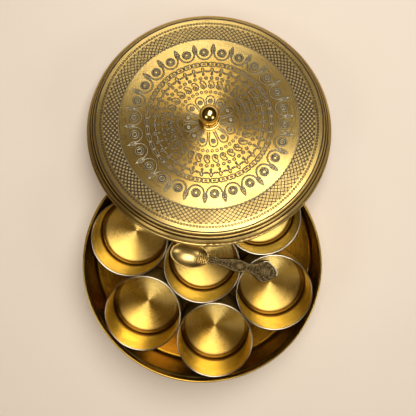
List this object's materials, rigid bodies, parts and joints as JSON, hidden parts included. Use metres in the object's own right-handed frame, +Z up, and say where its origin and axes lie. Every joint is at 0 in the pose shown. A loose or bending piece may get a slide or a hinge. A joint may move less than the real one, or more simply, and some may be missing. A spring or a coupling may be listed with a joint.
{
  "type": "spice box",
  "caption": "Round brass spice box with loose open bowls inside, a small spoon and an engraved lid with a ball knob leaning on its rim.",
  "frame": {"origin": "middle of the pan's flat foot, on the table", "axes": "+Z up, out of the pan; +Y from the pan towards the leaning lid; +X to the right seen from the front"},
  "size_m": [0.2074, 0.3157, 0.0825],
  "materials": {
    "pan_brass": "spun sheet brass, satin with fine ring marks",
    "bowl_brass": "spun sheet brass, polished walls and lathe-brushed floors",
    "lid_brass": "spun sheet brass, lathe-brushed, with darkened engraving",
    "knob_brass": "turned brass, mirror polished",
    "fastener_brass": "turned brass, plain",
    "spoon_brass": "pressed brass, polished",
    "handle_brass": "cast brass, darkened, worn bright at the edges"
  },
  "bodies": {
    "pan": {"box_pan": "pan_brass"},
    "lid": {"lid_shell": "lid_brass", "knob_collar": "knob_brass", "knob_ball": "knob_brass", "knob_washer": "fastener_brass", "knob_screw": "fastener_brass"},
    "spoon": {"spoon_bowl": "spoon_brass", "spoon_handle": "handle_brass"},
    "centre_bowl": {"centre_bowl": "bowl_brass"},
    "ring_bowl_1": {"ring_bowl_1": "bowl_brass"},
    "ring_bowl_2": {"ring_bowl_2": "bowl_brass"},
    "ring_bowl_3": {"ring_bowl_3": "bowl_brass"},
    "ring_bowl_4": {"ring_bowl_4": "bowl_brass"},
    "ring_bowl_5": {"ring_bowl_5": "bowl_brass"},
    "ring_bowl_6": {"ring_bowl_6": "bowl_brass"}
  },
  "joints": [
    {"name": "lid_lift", "type": "slide", "parent": "pan", "child": "lid", "axis": [0, 0.3486, 0.9373], "range_m": [0, 0.24]},
    {"name": "spoon_lift", "type": "slide", "parent": "pan", "child": "spoon", "axis": [0, 0, 1], "range_m": [0, 0.144]},
    {"name": "centre_bowl_lift", "type": "slide", "parent": "pan", "child": "centre_bowl", "axis": [0, 0, 1], "range_m": [0, 0.072]},
    {"name": "ring_bowl_1_lift", "type": "slide", "parent": "pan", "child": "ring_bowl_1", "axis": [0, 0, 1], "range_m": [0, 0.072]},
    {"name": "ring_bowl_2_lift", "type": "slide", "parent": "pan", "child": "ring_bowl_2", "axis": [0, 0, 1], "range_m": [0, 0.072]},
    {"name": "ring_bowl_3_lift", "type": "slide", "parent": "pan", "child": "ring_bowl_3", "axis": [0, 0, 1], "range_m": [0, 0.072]},
    {"name": "ring_bowl_4_lift", "type": "slide", "parent": "pan", "child": "ring_bowl_4", "axis": [0, 0, 1], "range_m": [0, 0.072]},
    {"name": "ring_bowl_5_lift", "type": "slide", "parent": "pan", "child": "ring_bowl_5", "axis": [0, 0, 1], "range_m": [0, 0.072]},
    {"name": "ring_bowl_6_lift", "type": "slide", "parent": "pan", "child": "ring_bowl_6", "axis": [0, 0, 1], "range_m": [0, 0.072]}
  ],
  "couplings": [
    {"joint": "spoon_lift", "follows": "lid_lift", "ratio": 0.6},
    {"joint": "centre_bowl_lift", "follows": "lid_lift", "ratio": 0.3},
    {"joint": "ring_bowl_1_lift", "follows": "lid_lift", "ratio": 0.3},
    {"joint": "ring_bowl_2_lift", "follows": "lid_lift", "ratio": 0.3},
    {"joint": "ring_bowl_3_lift", "follows": "lid_lift", "ratio": 0.3},
    {"joint": "ring_bowl_4_lift", "follows": "lid_lift", "ratio": 0.3}
  ]
}
